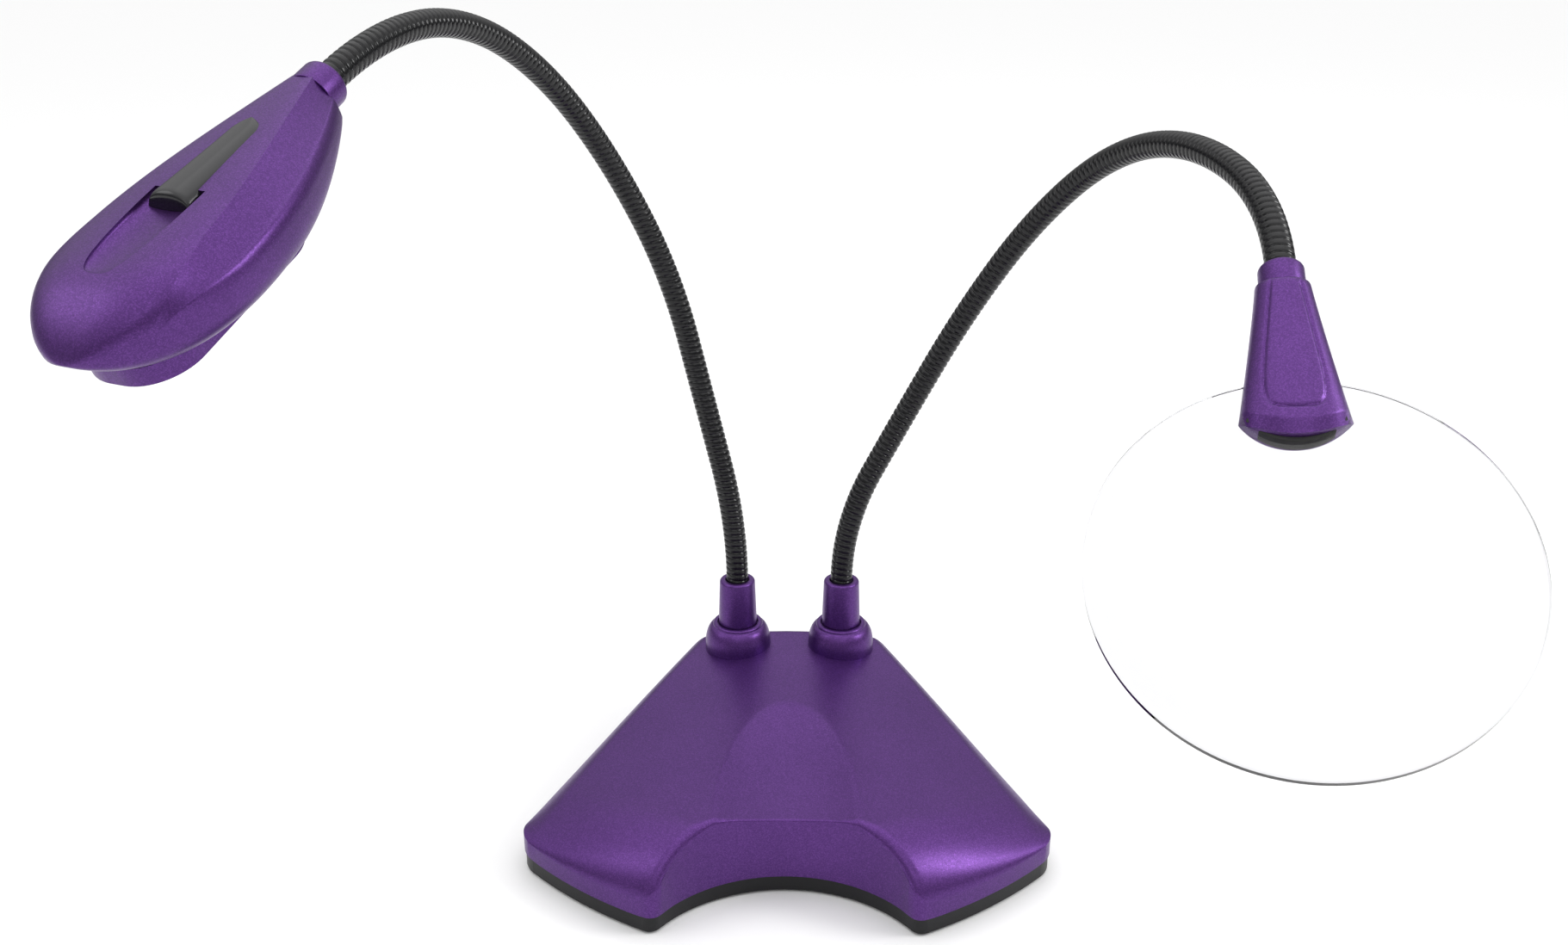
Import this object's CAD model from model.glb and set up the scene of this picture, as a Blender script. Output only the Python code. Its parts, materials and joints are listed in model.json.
"""Looks of a magnifying desk lamp: metallic purple mouldings, black goosenecks, a clear round lens."""
import json
import math

import bpy
import numpy as np
from mathutils import Matrix, Vector


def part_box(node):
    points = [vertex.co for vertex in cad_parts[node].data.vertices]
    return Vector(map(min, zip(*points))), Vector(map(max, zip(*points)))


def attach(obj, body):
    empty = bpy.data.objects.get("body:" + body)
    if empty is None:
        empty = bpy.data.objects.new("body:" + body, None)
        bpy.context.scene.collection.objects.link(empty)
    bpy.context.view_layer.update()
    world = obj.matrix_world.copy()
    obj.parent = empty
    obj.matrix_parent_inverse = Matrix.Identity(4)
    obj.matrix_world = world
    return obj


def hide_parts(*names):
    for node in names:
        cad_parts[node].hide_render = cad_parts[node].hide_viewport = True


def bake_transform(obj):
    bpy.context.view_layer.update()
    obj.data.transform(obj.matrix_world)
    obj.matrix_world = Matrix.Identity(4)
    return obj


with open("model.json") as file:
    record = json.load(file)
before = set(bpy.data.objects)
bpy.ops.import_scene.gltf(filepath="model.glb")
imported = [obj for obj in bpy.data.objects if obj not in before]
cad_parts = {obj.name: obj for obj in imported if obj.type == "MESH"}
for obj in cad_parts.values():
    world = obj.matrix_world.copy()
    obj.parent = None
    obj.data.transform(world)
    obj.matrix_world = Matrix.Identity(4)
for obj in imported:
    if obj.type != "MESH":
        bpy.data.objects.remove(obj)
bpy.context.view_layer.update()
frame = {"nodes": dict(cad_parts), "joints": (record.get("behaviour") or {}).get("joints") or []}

bl_info = {
    "name": "Magnifying Desk Lamp",
    "version": (1, 0, 0),
    "blender": (4, 5, 0),
    "location": "3D View > Sidebar > Lamp",
    "description": "Models the mouldings, goosenecks, switch, lens and holder of a magnifying desk lamp",
    "category": "Object",
}

MM = 0.001
CLEARANCE = 0.06 * MM
JOINTS = {joint["name"]: joint for joint in frame["joints"]}


# ---------------------------------------------------------------- settings
def length(label, text, default):
    return bpy.props.FloatProperty(name=label, description=text, default=default, unit="LENGTH", precision=5)


def colour(label, text, default):
    return bpy.props.FloatVectorProperty(name=label, description=text, default=default, subtype="COLOR",
                                         size=3, min=0, max=1)


class LampBaseSettings(bpy.types.PropertyGroup):
    seam: length("Seam height", "Lower edge of the cover above the table", 6.5 * MM)
    rim: length("Rim height", "Where the cover's wall starts to round over", 12 * MM)
    spine: length("Spine height", "Height of the cover's middle line at the arms", 36 * MM)
    crown: length("Crown radius", "Curve of the cover from side to side", 210 * MM)
    across: length("Facet width radius", "Curve of the hollow facet from side to side", 73 * MM)
    along: length("Facet length radius", "Curve of the hollow facet from back to front", 442 * MM)
    bow: length("Bow radius", "Curve of the two front edges", 150 * MM)
    notch: length("Notch radius", "Round recess in the front edge", 47.5 * MM)
    wall: length("Wall", "Thickness of the moulded cover", 2.2 * MM)


class LampArmSettings(bpy.types.PropertyGroup):
    radius: length("Conduit radius", "Outside radius of the goosenecks", 4 * MM)
    pitch: length("Coil pitch", "Distance between turns of the coil", 2.2 * MM)
    groove: length("Groove depth", "Depth of the gap between turns", 0.5 * MM)


class LampHeadSettings(bpy.types.PropertyGroup):
    start: length("Shell start", "From the gooseneck's end to the shells", 7 * MM)
    length: length("Shell length", "Length of the two shells", 98 * MM)
    half: length("Half width", "Half of the greatest width", 24 * MM)
    crown: length("Top height", "Top of the upper shell above the seam", 11.2 * MM)
    depth: length("Depth", "Bottom of the lower shell below the seam", 11.8 * MM)
    seam: length("Seam", "Height of the seam against the gooseneck's axis", -4 * MM)


class LampLensSettings(bpy.types.PropertyGroup):
    radius: length("Lens radius", "Half of the lens's diameter", 51 * MM)
    distance: length("Lens distance", "From the gooseneck's end to the lens's middle", 86 * MM)
    edge: length("Half edge", "Half of the thickness at the edge", 1.2 * MM)
    sag: length("Bulge", "How far each face stands out in the middle", 2.9 * MM)
    roll: bpy.props.FloatProperty(name="Roll", description="Turn of the lens about its holder",
                                  default=math.radians(6), unit="ROTATION")


class LampColourSettings(bpy.types.PropertyGroup):
    paint: colour("Paint", "Metallic paint in the light", (0.145, 0.05, 0.27))
    paint_deep: colour("Deep paint", "Metallic paint between its flakes", (0.06, 0.018, 0.125))
    conduit: colour("Conduit", "Lacquer of the goosenecks", (0.005, 0.005, 0.006))
    moulding: colour("Moulding", "Black moulded plastic", (0.006, 0.006, 0.007))
    floor: colour("Floor", "Floor and background", (0.93, 0.93, 0.93))


# ---------------------------------------------------------------- modelling helpers
def only(*objects):
    """Leave edit mode and select just these objects."""
    if bpy.context.object and bpy.context.object.mode != "OBJECT":
        bpy.ops.object.mode_set(mode="OBJECT")
    bpy.ops.object.select_all(action="DESELECT")
    for obj in objects:
        obj.select_set(True)
        bpy.context.view_layer.objects.active = obj


def named(name):
    """Name the new primitive and its mesh."""
    obj = bpy.context.object
    obj.name = obj.data.name = name
    return obj


def shaped_grid(name, columns, rows, shape):
    """A grid primitive whose points are moved to shape(u, v), with u and v from 0 to 1."""
    only()
    bpy.ops.mesh.primitive_grid_add(x_subdivisions=columns, y_subdivisions=rows, size=2)
    obj = named(name)
    for vertex in obj.data.vertices:
        vertex.co = shape(clamp((vertex.co.x + 1) / 2), clamp((vertex.co.y + 1) / 2))
    return obj


def edit(obj, select="SELECT"):
    only(obj)
    bpy.ops.object.mode_set(mode="EDIT")
    bpy.ops.mesh.select_all(action=select)


def done():
    bpy.ops.object.mode_set(mode="OBJECT")


def weld(obj, distance=0.00001, recalculate=True):
    edit(obj)
    bpy.ops.mesh.remove_doubles(threshold=distance)
    bpy.ops.mesh.dissolve_degenerate(threshold=0.000001)
    if recalculate:
        bpy.ops.mesh.select_all(action="SELECT")
        bpy.ops.mesh.normals_make_consistent(inside=False)
    done()


def edit_open_edges(obj):
    """Go into edit mode with just the open edges selected."""
    edit(obj, "DESELECT")
    bpy.ops.mesh.select_mode(type="EDGE")
    bpy.ops.mesh.select_non_manifold(extend=False, use_wire=False, use_boundary=True,
                                     use_multi_face=False, use_non_contiguous=False, use_verts=False)


def extrude_open_edges(obj, rise):
    """Pull the open edges straight up or down and leave the new ones selected."""
    edit_open_edges(obj)
    bpy.ops.mesh.extrude_region_move(TRANSFORM_OT_translate={"value": (0, 0, rise)})
    done()


def flatten_selected(obj, height):
    """Bring the selected points to one height."""
    for vertex in obj.data.vertices:
        if vertex.select:
            vertex.co.z = height


def close_holes(obj, separately=False):
    """Fill the open edge loops, together or each one for itself."""
    edit_open_edges(obj)
    if separately:
        bpy.ops.mesh.fill_holes(sides=0)
    else:
        bpy.ops.mesh.fill()
    bpy.ops.mesh.select_all(action="SELECT")
    bpy.ops.mesh.normals_make_consistent(inside=False)
    done()


def modify(obj, kind, **values):
    """Add a modifier and apply it."""
    only(obj)
    modifier = obj.modifiers.new(kind.lower(), kind)
    for key, value in values.items():
        setattr(modifier, key, value)
    bpy.ops.object.modifier_apply(modifier=modifier.name)


def carve(obj, cutter):
    """Take the cutter's volume away from a piece."""
    modify(obj, "BOOLEAN", operation="DIFFERENCE", object=cutter, solver="EXACT")
    bpy.data.objects.remove(cutter)


def smooth(obj, degrees):
    """Shade smooth, with creases where faces meet at more than this angle."""
    only(obj)
    bpy.ops.object.shade_smooth_by_angle(angle=math.radians(degrees))


def place(obj, matrix):
    """Put a piece that was modelled at the origin where it belongs, in its mesh."""
    obj.data.transform(matrix)
    obj.data.update()


def finish_piece(obj, material, body, replaced):
    """Give a piece its material, the body it moves with and the CAD node it stands for."""
    obj.data.materials.clear()
    obj.data.materials.append(material)
    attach(obj, body)
    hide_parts(replaced)


def lathe(name, profile, steps=96):
    """Spin a closed profile of (radius, height) about Z."""
    only()
    bpy.ops.mesh.primitive_circle_add(vertices=len(profile), radius=1)
    obj = named(name)
    for vertex, (radius, height) in zip(obj.data.vertices, profile):
        vertex.co = (radius, 0, height)
    edit(obj)
    bpy.ops.mesh.spin(steps=steps, angle=2 * math.pi, center=(0, 0, 0), axis=(0, 0, 1))
    done()
    weld(obj)
    return obj


def soft_corners(points, closed=True, steps=6):
    """Round the corners of a flat outline given as (x, y, radius)."""
    out = []
    count = len(points)
    for i, (x, y, radius) in enumerate(points):
        here = Vector((x, y))
        if radius == 0 or (not closed and i in (0, count - 1)):
            out.append(here)
            continue
        before = (Vector(points[i - 1][:2]) - here).normalized()
        after = (Vector(points[(i + 1) % count][:2]) - here).normalized()
        half = before.angle(after) / 2
        centre = here + (before + after).normalized() * (radius / math.sin(half))
        first = here + before * (radius / math.tan(half)) - centre
        last = here + after * (radius / math.tan(half)) - centre
        sweep = first.angle_signed(last)
        for step in range(steps + 1):
            turn = Matrix.Rotation(-sweep * step / steps, 2)
            out.append(centre + turn @ first)
    return out


def slab(name, outline, low, high):
    """An extruded block over a flat outline."""
    only()
    bpy.ops.mesh.primitive_circle_add(vertices=len(outline), radius=1, fill_type="NGON")
    obj = named(name)
    for vertex, (x, y) in zip(obj.data.vertices, outline):
        vertex.co = (x, y, low)
    edit(obj)
    bpy.ops.mesh.extrude_region_move(TRANSFORM_OT_translate={"value": (0, 0, high - low)})
    bpy.ops.mesh.select_all(action="SELECT")
    bpy.ops.mesh.normals_make_consistent(inside=False)
    done()
    return obj


def clamp(value):
    """Keep a share between 0 and 1."""
    return min(1.0, max(0.0, value))


def soft_min(a, b, reach):
    """The lower of two heights, rounded where they cross."""
    blend = clamp(0.5 + 0.5 * (b - a) / reach)
    return b * (1 - blend) + a * blend - reach * blend * (1 - blend)


def level_frame(origin, along, roll=0.0):
    """X along a direction, Z as near upright as it can be, then rolled about X."""
    upright = (Vector((0, 0, 1)) - along * along.z).normalized()
    across = upright.cross(along)
    turn = Matrix.Rotation(roll, 3, along)
    axes = Matrix((along, turn @ across, turn @ upright)).transposed()
    return Matrix.Translation(origin) @ axes.to_4x4()


def ring_start(name, along):
    """Where the axis of a turned CAD piece starts."""
    points = np.array([vertex.co for vertex in frame["nodes"][name].data.vertices])
    axis = np.array(along)
    across = np.array(along.orthogonal().normalized())
    other = np.cross(axis, across)
    start = axis * (points @ axis).min()
    for direction in (across, other):
        spread = points @ direction
        start = start + direction * (spread.max() + spread.min()) / 2
    return Vector(start)


# ---------------------------------------------------------------- where things are
def head_frame():
    """The lamp head's own frame: X from the gooseneck's end to the nose, Z out of the top."""
    along = Vector(JOINTS["switch_slide"]["axis"]).normalized()
    return level_frame(ring_start("head_collar", along), along)


def lens_frame(settings):
    """The holder's own frame: X from the gooseneck's end to the lens, Z along the lens's axis."""
    middle = sum(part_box("magnifying_lens"), Vector()) / 2
    collar = sum(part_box("lens_holder_collar"), Vector()) / 2
    along = (middle - collar).normalized()
    return level_frame(middle - along * settings.distance, along, settings.roll)


class Route:
    """A gooseneck's centre line: arcs that follow on from each other through its joints."""

    def __init__(self, start, stops, end, end_direction):
        self.arcs = []
        direction = Vector((0, 0, 1))
        side = Vector((1, 0, 0))
        for stop in stops:
            direction, start, side = self.add(start, direction, side, stop)
        self.add(start, direction, side, end, end_direction)
        self.length = sum(arc[4] for arc in self.arcs)

    def add(self, start, direction, side, stop, final=None):
        chord = stop - start
        half = direction.angle(final) / 2 if final else direction.angle(chord)
        axis = direction.cross(final if final else chord).normalized()
        size = chord.length / math.sin(half) * half
        self.arcs.append((start, direction, side, axis, size, half * 2))
        turn = Matrix.Rotation(half * 2, 3, axis)
        return turn @ direction, stop, turn @ side

    def at(self, distance):
        """Point, direction and side at a distance along the line."""
        for arc in self.arcs:
            if distance <= arc[4] or arc is self.arcs[-1]:
                break
            distance -= arc[4]
        start, direction, side, axis, size, bend = arc
        angle = bend * distance / size
        radius = size / bend
        turn = Matrix.Rotation(angle, 3, axis)
        towards = axis.cross(direction)
        point = start + towards * radius - turn @ (towards * radius)
        return point, turn @ direction, turn @ side


def arm_route(arm):
    """The centre line of one gooseneck, from its sleeve to the head or the lens holder."""
    low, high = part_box(arm + "_arm_sleeve")
    above_sleeve = 0.2 * MM
    start = Vector(((low.x + high.x) / 2, (low.y + high.y) / 2, high.z + above_sleeve))
    stops = [Vector(JOINTS["%s_bend_%d" % (arm, i)]["pos_m"]) for i in range(1, 7)]
    if arm == "light":
        target = head_frame()
    else:
        target = lens_frame(bpy.context.scene.lamp_lens)
    return Route(start, stops, target.translation, target.to_3x3() @ Vector((1, 0, 0)))


# ---------------------------------------------------------------- material parts
def make_group(name, inputs, outputs):
    """An empty shader group with named sockets."""
    group = bpy.data.node_groups.new(name, "ShaderNodeTree")
    for label, kind, default in inputs:
        socket = group.interface.new_socket(label, in_out="INPUT", socket_type=kind)
        socket.default_value = default
    for label, kind in outputs:
        group.interface.new_socket(label, in_out="OUTPUT", socket_type=kind)
    return group


def node(tree, kind, **values):
    """A new node with its settings and unlinked inputs set."""
    made = tree.nodes.new(kind)
    for key, value in values.items():
        if hasattr(made, key) and key not in ("Scale", "Detail", "Roughness"):
            setattr(made, key, value)
        else:
            made.inputs[key].default_value = value
    return made


def link(tree, source, target):
    tree.links.new(source, target)


FLOAT, COLOUR, VECTOR = "NodeSocketFloat", "NodeSocketColor", "NodeSocketVector"


def flake_group():
    """Metallic flakes: colour and shine that change from flake to flake, with orange peel below."""
    if "Metal flake" in bpy.data.node_groups:
        return bpy.data.node_groups["Metal flake"]
    group = make_group("Metal flake", [("Paint", COLOUR, (1, 1, 1, 1)), ("Deep paint", COLOUR, (0, 0, 0, 1)),
                                       ("Flakes per metre", FLOAT, 3000.0), ("Sparkle", FLOAT, 0.5),
                                       ("Shine", FLOAT, 0.35)],
                       [("Colour", COLOUR), ("Roughness", FLOAT), ("Normal", VECTOR)])
    given = node(group, "NodeGroupInput")
    result = node(group, "NodeGroupOutput")
    place_of = node(group, "ShaderNodeTexCoord")
    cells = node(group, "ShaderNodeTexVoronoi", feature="F1")
    link(group, place_of.outputs["Object"], cells.inputs["Vector"])
    link(group, given.outputs["Flakes per metre"], cells.inputs["Scale"])
    split = node(group, "ShaderNodeSeparateColor")
    link(group, cells.outputs["Color"], split.inputs["Color"])
    power = node(group, "ShaderNodeMath", operation="POWER")
    link(group, split.outputs["Red"], power.inputs[0])
    power.inputs[1].default_value = 2.0
    amount = node(group, "ShaderNodeMath", operation="MULTIPLY", use_clamp=True)
    link(group, power.outputs[0], amount.inputs[0])
    link(group, given.outputs["Sparkle"], amount.inputs[1])
    cloud = node(group, "ShaderNodeTexNoise", Scale=28.0, Detail=3.0)
    link(group, place_of.outputs["Object"], cloud.inputs["Vector"])
    drift = node(group, "ShaderNodeMath", operation="MULTIPLY_ADD", use_clamp=True)
    link(group, cloud.outputs["Fac"], drift.inputs[0])
    drift.inputs[1].default_value = 0.35
    link(group, amount.outputs[0], drift.inputs[2])
    mix = node(group, "ShaderNodeMix", data_type="RGBA")
    link(group, drift.outputs[0], mix.inputs["Factor"])
    link(group, given.outputs["Deep paint"], mix.inputs[6])
    link(group, given.outputs["Paint"], mix.inputs[7])
    link(group, mix.outputs[2], result.inputs["Colour"])
    rough = node(group, "ShaderNodeMath", operation="MULTIPLY_ADD")
    link(group, split.outputs["Green"], rough.inputs[0])
    rough.inputs[1].default_value = 0.12
    link(group, given.outputs["Shine"], rough.inputs[2])
    link(group, rough.outputs[0], result.inputs["Roughness"])
    peel = node(group, "ShaderNodeTexNoise", Scale=700.0, Detail=2.0)
    link(group, place_of.outputs["Object"], peel.inputs["Vector"])
    height = node(group, "ShaderNodeMath", operation="MULTIPLY_ADD")
    link(group, split.outputs["Blue"], height.inputs[0])
    height.inputs[1].default_value = 0.35
    link(group, peel.outputs["Fac"], height.inputs[2])
    bump = node(group, "ShaderNodeBump", Strength=0.16, Distance=0.00004)
    link(group, height.outputs[0], bump.inputs["Height"])
    link(group, bump.outputs["Normal"], result.inputs["Normal"])
    return group


def grain_group():
    """Fine moulded grain with faint smudges from handling."""
    if "Moulded grain" in bpy.data.node_groups:
        return bpy.data.node_groups["Moulded grain"]
    group = make_group("Moulded grain", [("Surface", COLOUR, (0, 0, 0, 1)),
                                         ("Rubbed", COLOUR, (0.1, 0.1, 0.1, 1)),
                                         ("Grains per metre", FLOAT, 2500.0), ("Depth", FLOAT, 0.2),
                                         ("Shine", FLOAT, 0.4), ("Smudge", FLOAT, 0.15)],
                       [("Colour", COLOUR), ("Roughness", FLOAT), ("Normal", VECTOR)])
    given = node(group, "NodeGroupInput")
    result = node(group, "NodeGroupOutput")
    place_of = node(group, "ShaderNodeTexCoord")
    grain = node(group, "ShaderNodeTexNoise", Detail=3.0)
    link(group, place_of.outputs["Object"], grain.inputs["Vector"])
    link(group, given.outputs["Grains per metre"], grain.inputs["Scale"])
    smudge = node(group, "ShaderNodeTexNoise", Scale=45.0, Detail=5.0)
    link(group, place_of.outputs["Object"], smudge.inputs["Vector"])
    rough = node(group, "ShaderNodeMath", operation="MULTIPLY_ADD")
    link(group, smudge.outputs["Fac"], rough.inputs[0])
    link(group, given.outputs["Smudge"], rough.inputs[1])
    link(group, given.outputs["Shine"], rough.inputs[2])
    link(group, rough.outputs[0], result.inputs["Roughness"])
    rubbed = node(group, "ShaderNodeMath", operation="MULTIPLY", use_clamp=True)
    link(group, smudge.outputs["Fac"], rubbed.inputs[0])
    link(group, given.outputs["Smudge"], rubbed.inputs[1])
    mix = node(group, "ShaderNodeMix", data_type="RGBA")
    link(group, rubbed.outputs[0], mix.inputs["Factor"])
    link(group, given.outputs["Surface"], mix.inputs[6])
    link(group, given.outputs["Rubbed"], mix.inputs[7])
    link(group, mix.outputs[2], result.inputs["Colour"])
    bump = node(group, "ShaderNodeBump", Distance=0.00008)
    link(group, given.outputs["Depth"], bump.inputs["Strength"])
    link(group, grain.outputs["Fac"], bump.inputs["Height"])
    link(group, bump.outputs["Normal"], result.inputs["Normal"])
    return group


def material_with(name, group, values, **shader_values):
    """A material whose colour, roughness and normal come from a group, and the rest from plain values."""
    if name in bpy.data.materials:
        return bpy.data.materials[name]
    made = bpy.data.materials.new(name)
    made.use_nodes = True
    tree = made.node_tree
    shader = tree.nodes["Principled BSDF"]
    for key, value in shader_values.items():
        shader.inputs[key.replace("_", " ")].default_value = value
    effect = node(tree, "ShaderNodeGroup", node_tree=group)
    for key, value in values.items():
        effect.inputs[key].default_value = value
    link(tree, effect.outputs["Colour"], shader.inputs["Base Color"])
    link(tree, effect.outputs["Roughness"], shader.inputs["Roughness"])
    link(tree, effect.outputs["Normal"], shader.inputs["Normal"])
    return made


def opaque(value):
    return (*value, 1)


def purple_paint():
    colours = bpy.context.scene.lamp_colours
    return material_with("metallic purple paint", flake_group(),
                         {"Paint": opaque(colours.paint), "Deep paint": opaque(colours.paint_deep),
                          "Flakes per metre": 4200.0, "Sparkle": 0.65, "Shine": 0.33},
                         Metallic=0.8, Coat_Weight=0.08, Coat_Roughness=0.3)


def moulded(name, surface, rubbed, grains, depth, shine, smudge, **shader_values):
    """A material with the moulded grain, its depth, shine and smudges."""
    return material_with(name, grain_group(),
                         {"Surface": opaque(surface), "Rubbed": opaque(rubbed), "Grains per metre": grains,
                          "Depth": depth, "Shine": shine, "Smudge": smudge}, **shader_values)


def black_moulding():
    return moulded("black moulded plastic", bpy.context.scene.lamp_colours.moulding, (0.015, 0.015, 0.017),
                   3500.0, 0.35, 0.3, 0.2, Specular_IOR_Level=0.3)


def glossy_black():
    return moulded("glossy black plastic", (0.01, 0.01, 0.012), (0.02, 0.02, 0.022), 5000.0, 0.06, 0.14, 0.12)


def conduit_lacquer():
    return moulded("black lacquered conduit", bpy.context.scene.lamp_colours.conduit, (0.012, 0.012, 0.014),
                   1500.0, 0.08, 0.14, 0.16, Specular_IOR_Level=0.35)


def black_rubber():
    return moulded("black rubber", (0.018, 0.018, 0.018), (0.035, 0.034, 0.032), 1800.0, 0.6, 0.62, 0.2)


def plated_steel():
    return moulded("plated steel", (0.62, 0.61, 0.6), (0.42, 0.41, 0.4), 900.0, 0.12, 0.2, 0.2, Metallic=1.0)


def yellow_brass():
    return moulded("turned brass", (0.75, 0.55, 0.25), (0.5, 0.36, 0.16), 700.0, 0.15, 0.22, 0.2,
                   Metallic=1.0)


def cast_weight():
    return moulded("cast weight", (0.12, 0.12, 0.12), (0.2, 0.18, 0.16), 500.0, 0.9, 0.55, 0.3, Metallic=0.6)


def cell_wrap():
    return moulded("cell wrapper", (0.03, 0.03, 0.035), (0.2, 0.15, 0.05), 300.0, 0.05, 0.2, 0.25)


def board_green():
    return moulded("circuit board", (0.01, 0.11, 0.04), (0.02, 0.2, 0.08), 400.0, 0.1, 0.25, 0.3)


def bright_reflector():
    return moulded("bright reflector", (0.8, 0.8, 0.82), (0.6, 0.6, 0.62), 900.0, 0.05, 0.12, 0.1,
                   Metallic=0.9)


def clear_acrylic():
    return moulded("clear acrylic", (0.79, 0.79, 0.805), (0.78, 0.78, 0.795), 60.0, 0.003, 0.0, 0.012,
                   Transmission_Weight=1.0, IOR=1.35)


def window_acrylic():
    return moulded("ribbed clear window", (0.96, 0.97, 1), (0.9, 0.9, 0.92), 500.0, 0.3, 0.08, 0.1,
                   Transmission_Weight=0.9, IOR=1.49)


def lit_dome():
    return moulded("light diode", (0.95, 0.92, 0.7), (0.9, 0.85, 0.5), 500.0, 0.05, 0.1, 0.1,
                   Transmission_Weight=0.4, IOR=1.5)


def dress(nodes, material):
    """Give carried-over CAD nodes a finish."""
    for name in nodes:
        data = frame["nodes"][name].data
        data.materials.clear()
        data.materials.append(material)
        for polygon in data.polygons:
            polygon.material_index = 0


# ---------------------------------------------------------------- stage
class LAMP_OT_stage(bpy.types.Operator):
    """Floor, background, soft lights and the camera"""
    bl_idname = "lamp.stage"
    bl_label = "Stage"

    def execute(self, context):
        self.camera(context)
        only()
        bpy.ops.mesh.primitive_plane_add(size=8)
        floor = named("floor")
        floor_colour = context.scene.lamp_colours.floor
        floor.data.materials.append(moulded("pale floor", floor_colour, floor_colour, 200.0, 0.02, 0.7, 0.05))
        self.sky(context)
        # name, place, turn in degrees, side of the square in metres, power in watts
        for name, spot, turn, size, power in (("top", (0.0, 0.35, 1.1), (-20, 0, 0), 1.0, 1.0),
                                              ("left", (-0.9, -0.2, 0.8), (15, -52, 0), 0.5, 1.2),
                                              ("right", (0.95, -0.1, 0.7), (10, 55, 0), 0.35, 4.0),
                                              ("front", (0.1, -1.2, 0.9), (55, 0, 0), 0.6, 0.8)):
            light = bpy.data.lights.new(name, "AREA")
            light.size = size
            light.energy = power
            lamp = bpy.data.objects.new(name, light)
            lamp.location = spot
            lamp.rotation_euler = [math.radians(angle) for angle in turn]
            context.scene.collection.objects.link(lamp)
        context.scene.view_settings.view_transform = "Standard"
        return {"FINISHED"}

    def camera(self, context):
        data = bpy.data.cameras.new("camera")
        camera = bpy.data.objects.new("camera", data)
        context.scene.collection.objects.link(camera)
        camera.location = (0.0046, -0.4683, 0.3202)
        camera.rotation_euler = (math.radians(67.5), 0, math.radians(0.72))
        data.sensor_width = 36
        data.lens = 36.57
        data.clip_start = 0.01
        context.scene.camera = camera

    def sky(self, context):
        """White surroundings, bright overhead and dark towards the horizon."""
        at_horizon, added_overhead = 0.06, 1.5
        world = bpy.data.worlds.new("studio")
        context.scene.world = world
        world.use_nodes = True
        tree = world.node_tree
        direction = node(tree, "ShaderNodeTexCoord")
        split = node(tree, "ShaderNodeSeparateXYZ")
        overhead = node(tree, "ShaderNodeMath", operation="MULTIPLY_ADD")
        link(tree, direction.outputs["Generated"], split.inputs[0])
        link(tree, split.outputs["Z"], overhead.inputs[0])
        overhead.inputs[1].default_value = added_overhead
        overhead.inputs[2].default_value = at_horizon
        background = tree.nodes["Background"]
        link(tree, overhead.outputs[0], background.inputs["Strength"])
        background.inputs["Color"].default_value = (1, 1, 1, 1)


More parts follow.
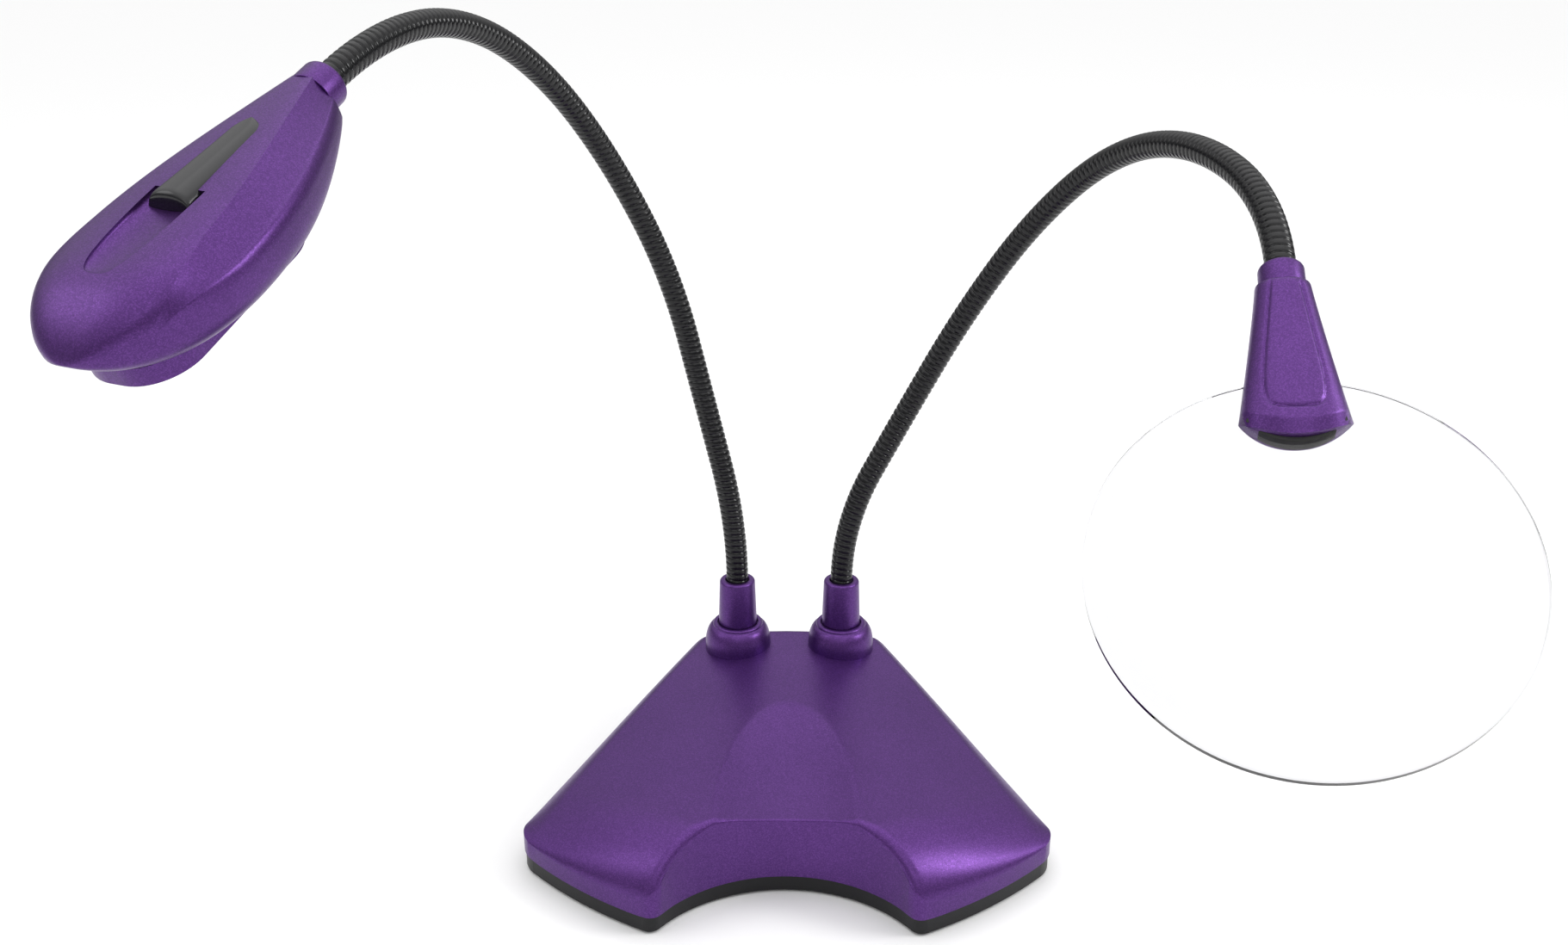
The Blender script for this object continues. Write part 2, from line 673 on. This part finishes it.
# ---------------------------------------------------------------- base
class BaseForm:
    """Plan and heights of the base cover, in metres. Corners are those of the right half."""

    side_corner, side_round = Vector((88.5 * MM, -34 * MM)), 12 * MM
    front_corner, front_round = Vector((40 * MM, -71 * MM)), 4 * MM
    back_half, back_round = 38 * MM, 6 * MM
    notch_centre = Vector((0, -95.5 * MM))
    # how far in from each edge the top rounds over
    side_shoulder, front_shoulder, back_shoulder = 10 * MM, 22 * MM, 8 * MM
    # the spine's fall towards the front, measured from the arms
    spine_slope, spine_middle = 0.034, 54 * MM
    facet_low, facet_low_y, facet_edge = 27.4 * MM, -67 * MM, 0.1 * MM

    def __init__(self, settings):
        self.s = settings
        self.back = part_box("base_top_cover")[1].y
        self.back_corner = Vector((self.back_half, self.back))
        chord = self.side_corner - self.front_corner
        inward = Vector((-chord.y, chord.x)).normalized()
        self.bow_centre = (self.front_corner + self.side_corner) / 2 + inward * math.sqrt(
            settings.bow ** 2 - chord.length_squared / 4)
        path = soft_corners(self.front_outline() + [(*self.side_corner, self.side_round),
                                                    (*self.back_corner, self.back_round), (0, self.back, 0)],
                            closed=False, steps=14)
        widest = max(range(len(path)), key=lambda i: path[i].x)
        self.front_path = path[:widest + 1]
        self.back_path = list(reversed(path[widest:]))
        self.half_width = path[widest].x

    def front_outline(self):
        """The recess, the lobe's tip and its bowed front, each up to where the roundings begin."""
        steps, past_tip = 40, 1.1
        recess = [self.notch_centre + Vector((math.sin(a), math.cos(a))) * self.s.notch
                  for a in np.linspace(0, past_tip, steps)]
        tip = min(recess, key=lambda p: abs((p - self.bow_centre).length - self.s.bow))
        outline = [(p.x, p.y, 0) for p in recess if p.x < tip.x - self.front_round]
        outline.append((tip.x, tip.y, self.front_round))
        first, last = [math.atan2(p.y, p.x) for p in (tip - self.bow_centre,
                                                      self.side_corner - self.bow_centre)]
        for angle in np.linspace(first, last, steps):
            p = self.bow_centre + Vector((math.cos(angle), math.sin(angle))) * self.s.bow
            if (p - tip).length > self.front_round + 1 * MM and (p - self.side_corner).length > self.side_round:
                outline.append((p.x, p.y, 0))
        return outline

    def plan(self, u, v):
        """X and Y, with u from side to side and v from the front edge to the back edge."""
        across = u * 2 - 1
        x = math.sin(math.pi / 2 * abs(across)) * self.half_width
        low = np.interp(x, [p.x for p in self.front_path], [p.y for p in self.front_path])
        high = np.interp(x, [p.x for p in self.back_path], [p.y for p in self.back_path])
        share = (1 - math.cos(math.pi * v)) / 2
        return math.copysign(x, across), low + (high - low) * share

    @staticmethod
    def rise(distance, width, power=1.9):
        """0 at an edge and 1 where its rounding ends."""
        return (1 - (1 - clamp(distance / width)) ** power) ** (1 / power)

    @staticmethod
    def edge_distance(point, start, end):
        """How far inside a straight edge a point lies."""
        along = (end - start).normalized()
        return (point - start).dot(Vector((-along.y, along.x)))

    def height(self, x, y):
        s = self.s
        point = Vector((abs(x), y))
        top = s.spine + self.spine_slope * (y - self.spine_middle) - x * x / (2 * s.crown)
        share = self.rise(self.edge_distance(point, self.side_corner, self.back_corner), self.side_shoulder)
        share *= self.rise(s.bow - (point - self.bow_centre).length, self.front_shoulder)
        share *= self.rise(self.back - y, self.back_shoulder)
        top = s.rim + (top - s.rim) * share
        facet = self.facet_low + (y - self.facet_low_y) ** 2 / (2 * s.along) + x * x / (2 * s.across)
        top = soft_min(top, facet, self.facet_edge)
        from_notch = (Vector((x, y)) - self.notch_centre).length - s.notch
        # the recess has a crisp edge in the middle and a softer one on the lobes
        ease = clamp((abs(x) - 18 * MM) / (10 * MM))
        width = (0.7 + 2.4 * ease) * MM
        return top - width * (1 - self.rise(from_notch, width, 2.0)) * (0.8 + 0.2 * ease)


class LAMP_OT_base_cover(bpy.types.Operator):
    """Crowned purple cover with the hollow facet and the round recess in its front"""
    bl_idname = "lamp.base_cover"
    bl_label = "Base cover"

    def execute(self, context):
        settings = context.scene.lamp_base
        form = BaseForm(settings)

        def shape(u, v):
            x, y = form.plan(u, v)
            return Vector((x, y, form.height(x, y)))

        cover = shaped_grid("base_cover", 230, 130, shape)
        weld(cover, recalculate=False)
        extrude_open_edges(cover, -1 * MM)
        flatten_selected(cover, settings.seam)
        modify(cover, "SOLIDIFY", thickness=settings.wall, offset=-1, use_even_offset=False)
        jack_low, jack_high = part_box("power_jack")
        middle = (jack_low + jack_high) / 2
        only()
        bpy.ops.mesh.primitive_cylinder_add(vertices=48, radius=4.4 * MM, depth=8 * MM,
                                            location=(middle.x, jack_high.y, middle.z),
                                            rotation=(math.pi / 2, 0, 0))
        carve(cover, bpy.context.object)
        smooth(cover, 40)
        finish_piece(cover, purple_paint(), "base", "base_top_cover")
        return {"FINISHED"}


class LAMP_OT_base_fittings(bpy.types.Operator):
    """Finishes of the plate, feet, screws and everything inside the base"""
    bl_idname = "lamp.base_fittings"
    bl_label = "Base fittings"

    def execute(self, context):
        dress(["base_bottom_plate", "battery_door", "battery_tray", "power_jack"], black_moulding())
        dress(["rubber_feet"], black_rubber())
        dress(["base_screws", "battery_springs", "battery_contacts"], plated_steel())
        dress(["light_arm_nut", "lens_arm_nut"], yellow_brass())
        dress(["ballast_weights"], cast_weight())
        dress(["battery_cells"], cell_wrap())
        dress(["driver_board"], board_green())
        dress(["driver_parts"], glossy_black())
        return {"FINISHED"}


class LAMP_OT_arm_mounts(bpy.types.Operator):
    """Domed bosses and the tapered sleeves that grip the goosenecks"""
    bl_idname = "lamp.arm_mounts"
    bl_label = "Arm mounts"

    def execute(self, context):
        bore = context.scene.lamp_arms.radius + CLEARANCE
        shank = 6 * MM
        for arm in ("light", "lens"):
            low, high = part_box(arm + "_arm_boss")
            top = high.z
            boss = self.boss(arm + "_boss", (high.x - low.x) / 2, low.z, top, shank + 0.1 * MM)
            sleeve_low, sleeve_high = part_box(arm + "_arm_sleeve")
            height = sleeve_high.z
            sleeve = lathe(arm + "_sleeve", soft_corners([
                (bore, sleeve_low.z, 0), (shank, sleeve_low.z, 0.3 * MM), (shank, top - 1.2 * MM, 0.1 * MM),
                (7.05 * MM, top - 0.9 * MM, 0.2 * MM), (6.4 * MM, height, 1.1 * MM),
                (bore + 0.4 * MM, height, 0.3 * MM), (bore, height - 0.5 * MM, 0.2 * MM)]))
            centre = Matrix.Translation(((low.x + high.x) / 2, (low.y + high.y) / 2, 0))
            for piece, node_name in ((boss, "_arm_boss"), (sleeve, "_arm_sleeve")):
                place(piece, centre)
                smooth(piece, 50)
                finish_piece(piece, purple_paint(), "base", arm + node_name)
        return {"FINISHED"}

    def boss(self, name, radius, bottom, top, bore):
        """A straight foot, a dome that leans in, and a rounded lip round the sleeve."""
        lean, rise, lip = 3.2 * MM, 7.4 * MM, radius - 2.9 * MM
        shoulder = top - 1 * MM - rise
        dome = [(radius - lean * (1 - math.cos(a)), shoulder + rise * math.sin(a), 0)
                for a in np.linspace(0, 1.3, 14)]
        return lathe(name, soft_corners([
            (bore, bottom, 0), (radius, bottom, 0), *dome, (lip, top - 1.0 * MM, 0.15 * MM),
            (lip, top, 0.8 * MM), (7.4 * MM, top, 0.3 * MM), (7.3 * MM, top - 1 * MM, 0.2 * MM),
            (bore, top - 1 * MM, 0)]))


class LAMP_OT_goosenecks(bpy.types.Operator):
    """Coiled conduits, in pieces that bend smoothly across each joint"""
    bl_idname = "lamp.goosenecks"
    bl_label = "Goosenecks"

    def execute(self, context):
        settings = context.scene.lamp_arms
        for arm, last in (("light", "light_head"), ("lens", "lens_frame")):
            route = arm_route(arm)
            sections = len(route.arcs)
            middles, total = [], 0.0
            for arc in route.arcs:
                middles.append(total + arc[4] / 2)
                total += arc[4]
            # the ends run on inside the sleeve and the collar
            tuck = 5 * MM
            bounds = [-tuck] + middles[1:-1] + [total + tuck]
            for i in range(sections - 1):
                piece = self.coil(settings, route, "%s_gooseneck_%d" % (arm, i + 1), bounds[i], bounds[i + 1])
                piece.data.materials.append(conduit_lacquer())
                start, end = route.at(middles[i])[0], route.at(middles[i + 1])[0]
                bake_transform(piece)
                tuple(start)
                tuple(end)
                hidden = ["%s_arm_section_%d" % (arm, i + 1)]
                if i == sections - 2:
                    hidden.append("%s_arm_section_%d" % (arm, i + 2))
                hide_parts(*hidden)
        return {"FINISHED"}

    def coil(self, settings, route, name, start, end):
        """A tube along part of the route, with a groove that winds round it."""
        rows_per_turn, sides, sharpness = 10, 24, 5
        rows = round((end - start) / settings.pitch * rows_per_turn)

        def shape(u, v):
            distance = start + (end - start) * v
            on_route = max(0, min(route.length, distance))
            point, direction, side = route.at(on_route)
            point = point + direction * (distance - on_route)
            angle = 2 * math.pi * u
            turn = (distance / settings.pitch + u) % 1.0
            swell = abs(2 * turn - 1) ** sharpness
            radius = settings.radius - settings.groove * swell
            return point + (side * math.cos(angle) + direction.cross(side) * math.sin(angle)) * radius

        piece = shaped_grid(name, sides, rows, shape)
        weld(piece, 0.000005)
        close_holes(piece, separately=True)
        smooth(piece, 75)
        return piece


# ---------------------------------------------------------------- lamp head
class HeadForm:
    """Plan and sections of the lamp head, in metres, in its own frame.

    q is the share of the length from the neck to the nose.
    """

    widest, neck_share = 0.6, 0.30
    highest, neck_dip = 0.75, 1.2 * MM
    deepest, neck_depth = 0.45, 3.4 * MM
    top_power, low_power = 3.0, 0.57

    def __init__(self, settings):
        self.s = settings

    def half_width(self, q):
        if q < self.widest:
            share = self.neck_share + (1 - self.neck_share) * math.sin(math.pi / 2 * q / self.widest) ** 0.9
        else:
            share = math.sqrt(max(0.0, 1 - ((q - self.widest) / (1 - self.widest)) ** 2))
        return self.s.half * share

    def rise(self, q):
        full = self.s.crown
        if q < self.highest:
            return full - self.neck_dip + self.neck_dip * math.sin(math.pi / 2 * q / self.highest)
        return full * (1 - ((q - self.highest) / (1 - self.highest)) ** 2.4) ** 0.85

    def drop(self, q):
        start, full = self.neck_depth, self.s.depth
        if q < self.deepest:
            return start + (full - start) * math.sin(math.pi / 2 * q / self.deepest)
        return full * (1 - clamp((q - self.deepest) / (1 - self.deepest)) ** 4) ** 0.8

    @staticmethod
    def crease(q):
        """Where the crease runs, as a share of half width: it leaves the neck and fades at the nose."""
        if q < 0.61:
            return 0.42 + 0.26 * q / 0.61
        return min(0.985, 0.68 + 0.32 * clamp((q - 0.61) / 0.27) ** 1.3)

    def oval(self, y):
        return max(0.0, 1 - y ** self.top_power) ** (1 / self.top_power)

    def top_section(self, q, t):
        """Share of half width and of height at t, from -1 to 1 across the top."""
        crown_end, slope_end = 0.45, 0.72
        crease = self.crease(q)
        shoulder = crease + (1 - crease) * 0.82
        low = self.oval(shoulder) * (0.62 + 0.38 * clamp((crease - 0.7) / 0.3))
        high = self.oval(crease)
        a = abs(t)
        if a < crown_end:
            y = crease * a / crown_end
            z = self.oval(y)
        elif a < slope_end:
            share = (a - crown_end) / (slope_end - crown_end)
            y = crease + (shoulder - crease) * share
            z = high + (low - high) * share - 0.02 * math.sin(math.pi * share) * (1 - crease)
        else:
            angle = (a - slope_end) / (1 - slope_end) * math.pi / 2
            y = shoulder + (1 - shoulder) * math.sin(angle)
            z = low * math.cos(angle)
        return math.copysign(y, t), z

    def point(self, q, across, up):
        return Vector((self.s.start + self.s.length * q, self.half_width(q) * across, self.s.seam + up))

    def top_point(self, u, v):
        q = 1 - (1 - v) ** 2
        y, z = self.top_section(q, 1 - 2 * u)
        return self.point(q, -y, self.rise(q) * z)

    def low_point(self, u, v):
        q = 1 - (1 - v) ** 2
        angle = math.pi * u
        y = math.copysign(abs(math.cos(angle)) ** self.low_power, math.cos(angle))
        return self.point(q, y, -self.drop(q) * math.sin(angle) ** self.low_power)


def slot_outline():
    """Outline of the switch's recess: narrower and round at the back, wider at the front."""
    back, front, corner = 27.3 * MM, 63 * MM, 3 * MM
    small, wide = 5.0 * MM, 6.6 * MM
    back_round = small * 0.95
    return soft_corners([(back, -small, back_round), (front, -wide, corner), (front, wide, corner),
                         (back, small, back_round)])


def window_outline():
    """Outline of the light's opening in the lower shell."""
    middle, half_x, half_y, radius = 65 * MM, 31 * MM, 15 * MM, 13 * MM
    return soft_corners([(middle - half_x, -half_y, radius), (middle + half_x, -half_y, radius),
                         (middle + half_x, half_y, radius), (middle - half_x, half_y, radius)], steps=12)


def neck_ring(name, radius, rounding, height, matrix, replaced, body):
    """The collar that a gooseneck's end goes into."""
    bore = bpy.context.scene.lamp_arms.radius + CLEARANCE
    ring = lathe(name, soft_corners([
        (bore, 0.4 * MM, 0.2 * MM), (bore + 0.5 * MM, 0, 0.2 * MM), (radius, 0, rounding),
        (radius + 0.1 * MM, height, 0.2 * MM), (bore, height, 0)]))
    place(ring, matrix @ Matrix.Rotation(math.pi / 2, 4, "Y"))
    smooth(ring, 50)
    finish_piece(ring, purple_paint(), body, replaced)


class LAMP_OT_head_shells(bpy.types.Operator):
    """Upper and lower shells of the lamp head, with the thumb scoop and the switch's recess"""
    bl_idname = "lamp.head_shells"
    bl_label = "Head shells"
    slot_floor, wall = 4.2 * MM, 2 * MM

    def execute(self, context):
        settings = context.scene.lamp_head
        form = HeadForm(settings)
        frame_of = head_frame()
        top = shaped_grid("head_top", 80, 120, form.top_point)
        weld(top)
        close_holes(top)
        self.scoop(top)
        carve(top, slab("recess", slot_outline(), self.slot_floor, 30 * MM))
        low = shaped_grid("head_low", 72, 110, form.low_point)
        weld(low)
        modify(low, "SOLIDIFY", thickness=self.wall, offset=-1, use_even_offset=False)
        carve(low, slab("window_cut", window_outline(), -40 * MM, -8 * MM))
        for piece, replaced in ((top, "head_top_cover"), (low, "head_bottom_cover")):
            place(piece, frame_of)
            smooth(piece, 24)
            finish_piece(piece, purple_paint(), "light_head", replaced)
        return {"FINISHED"}

    def scoop(self, top):
        """Hollow the thumb's groove: a rounded trough that runs out towards the nose."""
        start, run, half, brim, deepest = 56 * MM, 31 * MM, 7.3 * MM, 7.4 * MM, 3.1 * MM

        def shape(u, v):
            angle = math.pi * u
            reach = math.pi / 2 * v
            x = start + run * math.sin(reach)
            y = half * math.cos(reach) ** 0.55 * math.cos(angle)
            deep = deepest * (1 - 0.25 * v) * math.cos(reach) ** 0.5
            return Vector((x, y, brim - deep * math.sin(angle) ** 0.5))

        cutter = shaped_grid("scoop", 40, 40, shape)
        extrude_open_edges(cutter, 12 * MM)
        weld(cutter)
        close_holes(cutter)
        carve(top, cutter)


class LAMP_OT_head_fittings(bpy.types.Operator):
    """Collar of the head and the finishes of its light"""
    bl_idname = "lamp.head_fittings"
    bl_label = "Head fittings"

    def execute(self, context):
        neck_ring("head_ring", 6.3 * MM, 1.4 * MM, 7.6 * MM, head_frame(), "head_collar", "light_head")
        dress(["switch_body", "head_clamp"], black_moulding())
        dress(["window_bezel"], purple_paint())
        dress(["light_window"], window_acrylic())
        dress(["led_board"], board_green())
        dress(["leds"], lit_dome())
        dress(["led_reflector"], bright_reflector())
        return {"FINISHED"}


class LAMP_OT_switch(bpy.types.Operator):
    """Tapered slide switch with a steep front for the thumb"""
    bl_idname = "lamp.switch"
    bl_label = "Switch"

    def execute(self, context):
        switch = shaped_grid("slide_switch", 48, 96, self.point)
        weld(switch)
        close_holes(switch)
        place(switch, head_frame())
        smooth(switch, 45)
        finish_piece(switch, glossy_black(), "switch", "switch_slider")
        return {"FINISHED"}

    @staticmethod
    def point(u, v):
        """Across from side to side with u, and from the narrow back to the foot of the front face with v."""
        back, brow, front, back_round = 27.6 * MM, 58.6 * MM, 61.2 * MM, 4.6 * MM
        floor, low, high = 4.5 * MM, 7.4 * MM, 9.3 * MM
        small, wide = 4.75 * MM, 6.35 * MM
        top_share = 0.7
        if v < top_share:
            x = back + (brow - back) * math.sin(math.pi / 2 * v / top_share) ** 1.5
            face = 0.0
        else:
            face = clamp((v - top_share) / (1 - top_share))
            x = brow + (front - brow) * math.sin(math.pi / 2 * face) ** 0.8
        share = clamp((x - back) / (front - back))
        crest = low + (high - low) * share ** 1.3
        height = floor + (crest - floor) * (1 - face ** 2.2) ** 0.6
        rounded = math.sqrt(clamp(1 - (1 - clamp((x - back) / back_round)) ** 2))
        half = (small + (wide - small) * share) * rounded
        across = 1 - 2 * u
        side = math.copysign(1 - (1 - abs(across)) ** 1.7, across)
        dome = clamp(1 - abs(side) ** 4) ** 0.5
        crown = (height - floor) * (0.8 + 0.2 * math.cos(side * math.pi / 2))
        return Vector((x, half * side, floor + crown * dome))


# ---------------------------------------------------------------- lens and holder
class LAMP_OT_lens(bpy.types.Operator):
    """Round rimless lens, a little thicker in the middle"""
    bl_idname = "lamp.lens"
    bl_label = "Lens"

    def execute(self, context):
        s = context.scene.lamp_lens
        ball = (s.radius ** 2 + s.sag ** 2) / (2 * s.sag)
        steps, rim = 40, 0.35 * MM
        face = []
        for step in range(steps + 1):
            across = s.radius * step / steps
            face.append((across, s.edge + math.sqrt(ball ** 2 - across ** 2) - (ball - s.sag)))
        profile = face[:-1] + [(s.radius - rim, face[-1][1]), (s.radius, face[-1][1] - rim)]
        profile += [(across, -height) for across, height in reversed(profile[1:])] + [(0, -face[0][1])]
        lens = lathe("lens", profile, steps=180)
        place(lens, lens_frame(s) @ Matrix.Translation((s.distance, 0, 0)))
        smooth(lens, 30)
        finish_piece(lens, clear_acrylic(), "lens_frame", "magnifying_lens")
        return {"FINISHED"}


class GripForm:
    """One half of the lens holder, in metres, with the lens's plane at z = 0."""

    start, end, bulge = 6.5 * MM, 47.5 * MM, 5.0 * MM
    neck, half = 6.9 * MM, 13.3 * MM
    neck_depth, end_depth = 6.3 * MM, 6.8 * MM
    groove_width = groove_depth = 0.42 * MM

    def width(self, q):
        return self.neck + (self.half - self.neck) * q ** 1.1

    def edge(self, across):
        """X of the bowed lower edge, with across from -1 to 1."""
        return self.end + self.bulge * (1 - across ** 2)

    def beyond_panel(self, x, y):
        """Roughly how far outside the line of the panel pressed into the front."""
        q = clamp((x - self.start) / (self.end - self.start))
        side = (3.4 + 5.2 * q) * MM
        return side * (((y / side) ** 4 + (q / 0.95) ** 9) ** 0.25 - 1)

    def groove(self, x, y):
        """Depth of the line round the panel."""
        step = 0.2 * MM
        outside = self.beyond_panel(x, y)
        slope = math.hypot((self.beyond_panel(x + step, y) - outside) / step,
                           (self.beyond_panel(x, y + step) - outside) / step)
        distance = outside / max(0.3, slope)
        fade = clamp((x - self.start) / (3 * MM))
        return self.groove_depth * math.exp(-(distance / self.groove_width) ** 2) * fade

    def point(self, u, v, panel):
        across = 1 - 2 * u
        y = self.width(v) * across
        end = self.edge(across)
        x = self.start + (end - self.start) * v
        depth = self.neck_depth + (self.end_depth - self.neck_depth) * v
        z = depth * max(0.0, 1 - abs(across) ** 2.6) ** (1 / 2.2)
        shoulder = clamp((x - self.start) / (2.2 * MM))
        z *= 0.82 + 0.18 * math.sqrt(1 - (1 - shoulder) ** 2)
        foot = clamp((end - x) / (3.2 * MM))
        z -= (1 - foot) * 1.5 * MM * clamp(z / (2 * MM))
        if panel:
            z -= self.groove(x, y)
        return Vector((x, y, max(0.0, z)))


class LAMP_OT_lens_holder(bpy.types.Operator):
    """Collar, the two halves that clamp the lens, and the black pads between them"""
    bl_idname = "lamp.lens_holder"
    bl_label = "Lens holder"

    def execute(self, context):
        frame_of = lens_frame(context.scene.lamp_lens)
        form = GripForm()
        for name, sign in (("front", 1), ("back", -1)):
            half = shaped_grid("holder_" + name, 90, 150, lambda u, v: form.point(u, v, sign > 0))
            if sign < 0:
                place(half, Matrix.Scale(-1, 4, (0, 0, 1)))
            weld(half)
            self.wall_and_close(half, sign)
            place(half, frame_of)
            smooth(half, 32)
            finish_piece(half, purple_paint(), "lens_frame", "lens_holder_" + name)
        neck_ring("holder_ring", 5.8 * MM, 1.3 * MM, 7.2 * MM, frame_of, "lens_holder_collar", "lens_frame")
        self.pads(frame_of, form)
        dress(["holder_screw"], plated_steel())
        return {"FINISHED"}

    def wall_and_close(self, half, sign):
        """Bring the open edge down to the parting plane and cap it."""
        extrude_open_edges(half, -0.1 * MM * sign)
        flatten_selected(half, -0.02 * MM * sign)
        close_holes(half)

    def pads(self, frame_of, form):
        """One soft block between the halves that shows as a dark line under their lower edge."""
        back, back_half, thickness, shown, steps = 34 * MM, 9 * MM, 3.4 * MM, 1.0 * MM, 24
        front = []
        for step in range(steps + 1):
            across = 1 - 2 * step / steps
            front.append((form.edge(across) + shown * (1 - abs(across) ** 4), across * (form.half - 1.6 * MM)))
        outline = [(back, -back_half), *reversed(front), (back, back_half)]
        pads = slab("lens_cushions", outline, -thickness, thickness)
        modify(pads, "BEVEL", width=0.5 * MM, segments=3, limit_method="ANGLE", angle_limit=math.radians(60))
        place(pads, frame_of)
        smooth(pads, 40)
        finish_piece(pads, black_rubber(), "lens_frame", "lens_pads")


class LAMP_PT_panel(bpy.types.Panel):
    """Sizes, colours and steps of the lamp"""
    bl_label = "Magnifying Desk Lamp"
    bl_idname = "LAMP_PT_panel"
    bl_space_type = "VIEW_3D"
    bl_region_type = "UI"
    bl_category = "Lamp"

    def draw(self, context):
        for group in SETTINGS:
            settings = getattr(context.scene, group)
            box = self.layout.box()
            for name in settings.__annotations__:
                box.prop(settings, name)
        for operator in OPERATORS:
            self.layout.operator(operator.bl_idname)


SETTINGS = {"lamp_base": LampBaseSettings, "lamp_arms": LampArmSettings, "lamp_head": LampHeadSettings,
            "lamp_lens": LampLensSettings, "lamp_colours": LampColourSettings}
OPERATORS = (LAMP_OT_stage, LAMP_OT_base_cover, LAMP_OT_base_fittings, LAMP_OT_arm_mounts, LAMP_OT_goosenecks,
             LAMP_OT_head_shells, LAMP_OT_head_fittings, LAMP_OT_switch, LAMP_OT_lens, LAMP_OT_lens_holder)


def register():
    for name, group in SETTINGS.items():
        bpy.utils.register_class(group)
        setattr(bpy.types.Scene, name, bpy.props.PointerProperty(type=group))
    for operator in OPERATORS:
        bpy.utils.register_class(operator)
    bpy.utils.register_class(LAMP_PT_panel)


def unregister():
    bpy.utils.unregister_class(LAMP_PT_panel)
    for operator in reversed(OPERATORS):
        bpy.utils.unregister_class(operator)
    for name, group in SETTINGS.items():
        delattr(bpy.types.Scene, name)
        bpy.utils.unregister_class(group)


def main():
    register()
    for operator in OPERATORS:
        group, name = operator.bl_idname.split(".")
        getattr(getattr(bpy.ops, group), name)()


if __name__ == "__main__":
    main()
